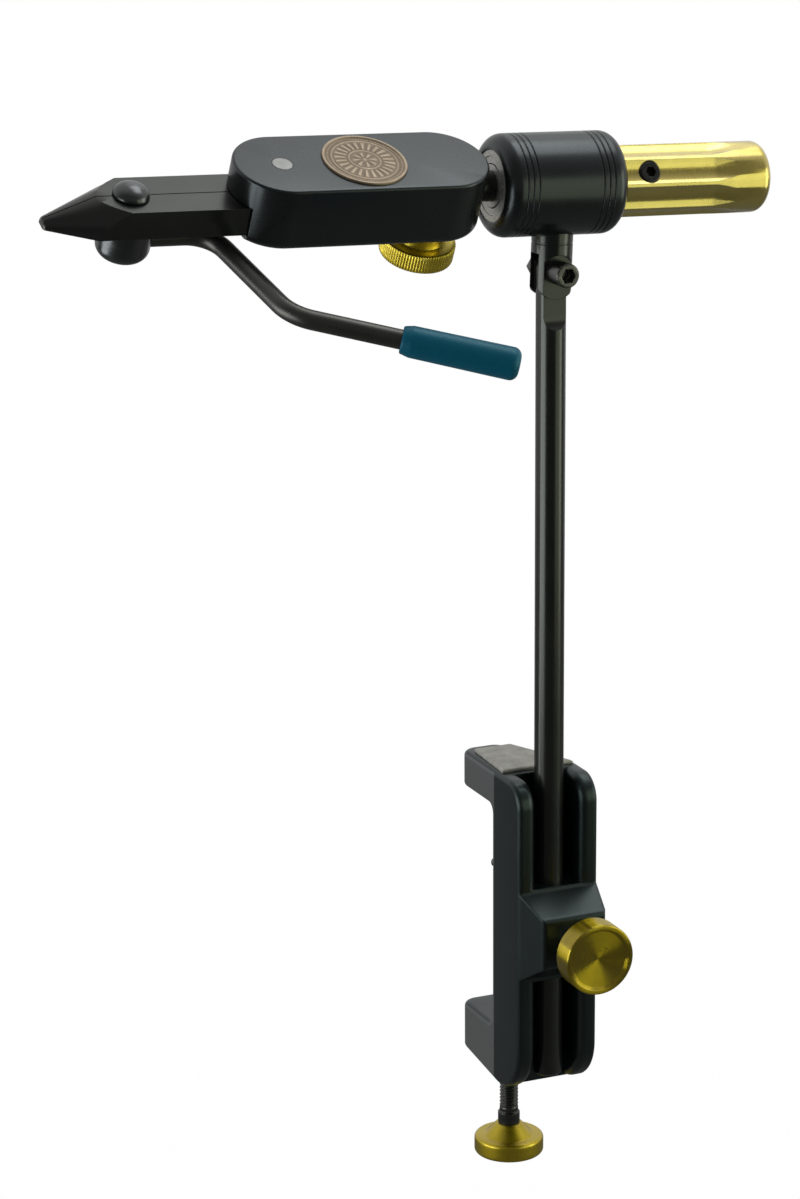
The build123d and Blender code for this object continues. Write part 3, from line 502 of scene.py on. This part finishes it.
# V thread: depth below the crest is a flat-topped wave of height over pitch less one turn, faded at both ends
def threadRelief(spec):
    def relief(angle, radius, height):
        phase = height / spec["pitch"] - angle / (2 * np.pi)
        wave = np.abs(2 * (phase - np.floor(phase)) - 1)
        crest = np.clip((wave - spec["rootFlat"]) / spec["flank"], 0, 1)
        along = np.minimum(spec["top"] - height, height - spec["bottom"]) / spec["fade"]
        return -spec["depth"] * (1 - crest) * np.clip(along, 0, 1)
    return relief


def addScrew(name, spec, place, node, body, finish):
    profile = denseProfile(spec["corners"], spec["pitch"] / spec["rowsPerTurn"])
    grid = turnedGrid(profile, spec["columns"], threadRelief(spec))
    piece = closedSurface(name, setAt(grid, place))
    piece.data.materials.append(finishes[finish])
    piece.modifiers.new("hardEdges", "EDGE_SPLIT").split_angle = math.radians(spec["hardEdge"])
    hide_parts(node)
    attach(piece, body)


addScrew(
    "clampScrewThread", clampThread, footPlace, "clamp_screw", "clamp_screw", "screwOxide"
)
addScrew(
    "lockScrewThread", lockThread, lockPlace, "stem_lock_screw", "lock_knob", "lockSteel"
)
print("threads cut")

# Corners are (radius, height) in millimetres: the bore, the hub, the rim and the underside
thumbKnob = {
    "teeth": 80, "pointsPerTooth": 10, "toothDepth": 0.26, "rimRadius": 11.7, "rimEdge": 0.5, "rimFade": 0.4,
    "step": 0.8, "hardEdge": 35,
    "corners": [
        (0, -22.52), (3.17, -22.52), (3.17, -11.24), (7.0, -11.24), (7.35, -11.38), (7.5, -11.8),
        (7.5, -16.96), (7.65, -17.56), (8.2, -17.8), (11.0, -17.8), (11.5, -18.01), (11.7, -18.51),
        (11.7, -23.21), (11.45, -23.76), (10.9, -24.0), (0, -24.0),
    ],
}


# Straight knurl: a rounded tooth wave round the rim that dies away towards the rim's two edges
def knurlRelief(angle, radius, height):
    spec = thumbKnob
    tooth = np.abs(np.sin(angle * spec["teeth"] / 2))
    rim = np.clip((radius - spec["rimRadius"] + spec["rimEdge"]) / spec["rimFade"], 0, 1)
    return -spec["toothDepth"] * (1 - tooth) * rim


def addThumbKnob():
    spec = thumbKnob
    profile = denseProfile(spec["corners"], spec["step"])
    grid = turnedGrid(profile, spec["teeth"] * spec["pointsPerTooth"], knurlRelief)
    piece = closedSurface("thumbKnobKnurled", setAt(grid, thumbPlace)[::-1])  # rows reversed: faces outwards
    piece.data.materials.append(finishes["thumbBrassPaintedLight"])
    piece.modifiers.new("hardEdges", "EDGE_SPLIT").split_angle = math.radians(spec["hardEdge"])
    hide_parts("thumb_knob")
    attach(piece, "thumb_knob")


addThumbKnob()
print("thumb knob knurled")

beadedDisc = {
    "floor": 9.36, "top": 11.36, "radius": 13.2, "rimWidth": 0.9, "field": 10.98, "fieldGap": 0.25,
    "dome": 0.16, "domeRadius": 10.95, "relief": 0.16, "step": 0.16, "underStep": 4.0, "hardEdge": 50,
    "beads": 84, "pointsPerBead": 8, "beadRing": 11.55, "beadSize": 0.36,
    "outerRing": 10.3, "outerWidth": 0.28, "innerRing": 4.9, "innerWidth": 0.3,
    "rays": 24, "rayFrom": 5.6, "rayTo": 9.7, "rayFade": 0.5, "rayLift": 0.5, "raySwing": 0.9,
    "petals": 8, "petalMiddle": 2.5, "petalHalf": 1.7, "petalLift": 0.4, "button": 0.9,
}


# Raised pattern, 0 to 1: beads as half spheres round a ring, two plain rings as bell curves of radius,
# rays as a cosine of angle between them, and petals as a cosine of angle round a button in the middle
def discRelief(angle, radius):
    spec = beadedDisc
    turnStep = 2 * np.pi / spec["beads"]
    offset = (np.mod(angle, turnStep) - turnStep / 2) * spec["beadRing"]
    away = np.hypot(offset, radius - spec["beadRing"]) / spec["beadSize"]
    bead = np.sqrt(np.clip(1 - away ** 2, 0, 1))
    rings = np.exp(-((radius - spec["outerRing"]) / spec["outerWidth"]) ** 2)
    rings = rings + np.exp(-((radius - spec["innerRing"]) / spec["innerWidth"]) ** 2)
    band = np.clip((radius - spec["rayFrom"]) / spec["rayFade"], 0, 1)
    band = band * np.clip((spec["rayTo"] - radius) / spec["rayFade"], 0, 1)
    ray = band * np.clip(spec["rayLift"] + spec["raySwing"] * np.cos(spec["rays"] * angle), 0, 1)
    leaf = np.clip(1 - ((radius - spec["petalMiddle"]) / spec["petalHalf"]) ** 2, 0, 1)
    leaf = leaf * np.clip(spec["petalLift"] + np.cos(spec["petals"] * angle), 0, 1)
    button = np.clip(1 - (radius / spec["button"]) ** 2, 0, 1)
    return np.clip(bead + rings + ray + leaf + button, 0, 1)


# Disc: a rim, and a field that rises as a shallow dome with the raised pattern on it
def addDisc():
    spec = beadedDisc
    edge = spec["radius"]
    top = spec["top"]
    inner = edge - spec["rimWidth"]
    upper = [  # the field, the slope up to the rim, the rim, and its rounded edge
        (0, spec["field"]), (inner - 0.3, spec["field"]), (inner, top - 0.08), (inner + 0.12, top),
        (edge - 0.25, top), (edge - 0.07, top - 0.08), (edge, top - 0.3),
    ]
    under = [upper[-1], (edge, spec["floor"]), (0, spec["floor"])]
    upperRows = denseProfile(upper, spec["step"])
    profile = np.concatenate([upperRows, denseProfile(under, spec["underStep"])[1:]])
    columns = spec["beads"] * spec["pointsPerBead"]
    grid = turnedGrid(profile, columns)
    angle = np.linspace(0, 2 * np.pi, columns, endpoint=False)[None, :]
    radius = np.repeat(profile[:, :1], columns, axis=1)
    inField = radius < inner - spec["fieldGap"]
    pattern = discRelief(angle, radius)
    dome = spec["dome"] * np.clip(1 - (radius / spec["domeRadius"]) ** 2, 0, 1)
    onTop = np.arange(len(profile))[:, None] < len(upperRows)
    grid[..., 2] += np.where(inField & onTop, spec["relief"] * pattern + dome, 0) * mm
    piece = closedSurface("discBeaded", setAt(grid, discPlace)[::-1])  # rows reversed: faces outwards
    raised = closedRows(np.where(inField, pattern, 1.0)[::-1]).astype(np.float32)
    piece.data.attributes.new("relief", "FLOAT", "POINT").data.foreach_set("value", raised)
    piece.data.materials.append(finishes["discBronze"])
    piece.modifiers.new("hardEdges", "EDGE_SPLIT").split_angle = math.radians(spec["hardEdge"])
    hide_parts("head_disc")
    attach(piece, "head")


addDisc()
print("disc beaded")

# Room: bright behind and dim on the camera's side, which frontWay points to; dimming spans its cosine
room = {"back": 0.75, "front": 0.16, "frontWay": (-0.40, -0.92, 0.0), "dimming": (-0.25, 0.6)}

# Large soft lamps: places and sizes in metres, power in watts
lamps = {
    "leftSoft": {
        "spot": (-0.72, -0.02, 0.01), "target": (-0.03, -0.03, 0.06), "size": (0.66, 0.38),
        "power": 2.8, "tint": (0.95, 0.99, 1.0),
    },
    "backSoft": {
        "spot": (0.57, 0.72, 1.37), "target": (-0.08, -0.03, 0.2), "size": (0.95, 0.8),
        "power": 1.1, "tint": (0.95, 0.98, 1.0),
    },
    "topSoft": {
        "spot": (0.52, 0.11, 1.5), "target": (0.0, -0.03, 0.2), "size": (0.9, 0.56),
        "power": 4.2, "tint": (0.96, 0.99, 1.0),
    },
    "rightSoft": {
        "spot": (0.755, -0.52, 0.17), "target": (0.0, -0.03, 0.15), "size": (0.3, 0.7),
        "power": 2.0, "tint": (0.95, 1.0, 0.80),
    },
    "frontSoft": {
        "spot": (0.40, -0.72, 0.16), "target": (0.0, -0.03, 0.19), "size": (0.45, 0.6),
        "power": 0.9, "tint": (0.94, 1.0, 0.74),
    },
}


# Sky: white to the eye, and for the vise a smooth step from the bright side to the dim one
def addWorld():
    world = bpy.data.worlds.new("studio")
    bpy.context.scene.world = world
    world.use_nodes = True
    tree = world.node_tree
    tree.nodes.clear()
    way = addNode(tree, "TexCoord").outputs["Generated"]
    ahead = addNode(tree, "VectorMath", {0: way, 1: room["frontWay"]}, operation="DOT_PRODUCT")
    level = ramp(
        tree, ahead.outputs["Value"], room["dimming"], room["back"], room["front"],
        interpolation_type="SMOOTHSTEP",
    )
    seen = addNode(tree, "LightPath").outputs["Is Camera Ray"]
    strength = addNode(tree, "Mix", {0: seen, 2: level, 3: 1.0}, data_type="FLOAT").outputs[0]
    sky = addNode(tree, "Background", {"Color": (1, 1, 1, 1), "Strength": strength})
    out = addNode(tree, "OutputWorld")
    tree.links.new(sky.outputs[0], out.inputs["Surface"])


def addLamps():
    for name, spec in lamps.items():
        data = bpy.data.lights.new(name, "AREA")
        data.shape = "RECTANGLE"
        data.size, data.size_y = spec["size"]
        data.energy = spec["power"]
        data.color = spec["tint"]
        lamp = bpy.data.objects.new(name, data)
        aim = (Vector(spec["target"]) - Vector(spec["spot"])).to_track_quat("-Z", "Y")
        lamp.matrix_world = Matrix.Translation(spec["spot"]) @ aim.to_matrix().to_4x4()
        bpy.context.scene.collection.objects.link(lamp)


# Metres; near and far are measured along frontWay, the shadow out from the middle
floorPaper = {
    "height": -0.186, "half": 6.0, "seen": 0.93, "rough": 0.9, "specular": 0.1,
    "bounceBack": 0.17, "bounceFront": 0.09, "nearSpan": (0.08, 0.36), "bounceFar": 0.7,
    "farSpan": (-0.5, -0.85), "glowNear": 0.97, "shadowSpan": (0.1, 0.6),
}


# Floor: pale paper, white to the eye with a faint shadow near the vise, and dimmer where the vise mirrors it
def addFloor():
    spec = floorPaper
    half = spec["half"]
    height = spec["height"]
    mesh = bpy.data.meshes.new("floorPaper")
    corners = [(-half, -half, height), (half, -half, height), (half, half, height), (-half, half, height)]
    mesh.from_pydata(corners, [], [(0, 1, 2, 3)])
    floor = bpy.data.objects.new("floorPaper", mesh)
    bpy.context.scene.collection.objects.link(floor)
    paper = bpy.data.materials.new("paper")
    paper.use_nodes = True
    tree = paper.node_tree
    shader = tree.nodes["Principled BSDF"]
    seen = addNode(tree, "LightPath").outputs["Is Camera Ray"]
    where = addNode(tree, "TexCoord").outputs["Object"]
    ahead = addNode(tree, "VectorMath", {0: where, 1: room["frontWay"]}, operation="DOT_PRODUCT")
    level = ahead.outputs["Value"]
    near = ramp(tree, level, spec["nearSpan"], spec["bounceBack"], spec["bounceFront"])
    bounce = add(tree, near, ramp(tree, level, spec["farSpan"], 0.0, spec["bounceFar"]))
    shade = colourMix(tree, seen, bounce, opaque((spec["seen"],) * 3))
    tree.links.new(shade, shader.inputs["Base Color"])
    shader.inputs["Roughness"].default_value = spec["rough"]
    shader.inputs["Specular IOR Level"].default_value = spec["specular"]
    reach = addNode(tree, "VectorMath", {0: where}, operation="LENGTH").outputs["Value"]
    amount = multiply(tree, ramp(tree, reach, spec["shadowSpan"], spec["glowNear"], 1.0), seen)
    glow = addNode(tree, "Emission", {"Color": (1, 1, 1, 1), "Strength": 1.0})
    mixed = addNode(tree, "MixShader", {0: amount, 1: shader.outputs[0], 2: glow.outputs[0]})
    tree.links.new(mixed.outputs[0], tree.nodes["Material Output"].inputs["Surface"])
    mesh.materials.append(paper)


# Lengths in millimetres and the clip in metres; focal, image and centre in the photograph's pixels
photoCamera = {
    "target": (-34.93, -30.0, 75.4), "turn": 24.145, "height": 15.557, "roll": -0.17, "distance": 1190.65,
    "focal": 3784.35, "imageHeight": 1199.0, "imageWidth": 800.0, "centre": (449.51, 599.07),
    "sensorHeight": 36.0, "clip": (0.05, 30.0),
}


# Camera fitted to the photograph: it looks along +Y turned towards +X, from above
def addCamera():
    spec = photoCamera
    turn = math.radians(spec["turn"])
    height = math.radians(spec["height"])
    level = math.cos(height)
    ahead = Vector((math.sin(turn) * level, math.cos(turn) * level, -math.sin(height)))
    right = Vector((math.cos(turn), -math.sin(turn), 0))
    up = right.cross(ahead)
    spot = Vector(spec["target"]) - ahead * spec["distance"]
    axes = Matrix((right, up, -ahead)).transposed()
    data = bpy.data.cameras.new("photoCamera")
    data.sensor_fit = "VERTICAL"
    data.sensor_height = spec["sensorHeight"]
    data.sensor_width = spec["sensorHeight"] * spec["imageWidth"] / spec["imageHeight"]
    data.lens = spec["focal"] / spec["imageHeight"] * spec["sensorHeight"]
    data.shift_x = (spec["imageWidth"] / 2 - spec["centre"][0]) / spec["imageHeight"]
    data.shift_y = (spec["centre"][1] - spec["imageHeight"] / 2) / spec["imageHeight"]
    data.clip_start, data.clip_end = spec["clip"]
    camera = bpy.data.objects.new("photoCamera", data)
    roll = Matrix.Rotation(math.radians(spec["roll"]), 4, "Z")
    camera.matrix_world = Matrix.Translation(spot * mm) @ axes.to_4x4() @ roll
    bpy.context.scene.collection.objects.link(camera)
    bpy.context.scene.camera = camera


addWorld()
addLamps()
addFloor()
addCamera()
bpy.context.scene.view_settings.view_transform = "Standard"
print("room and camera set")
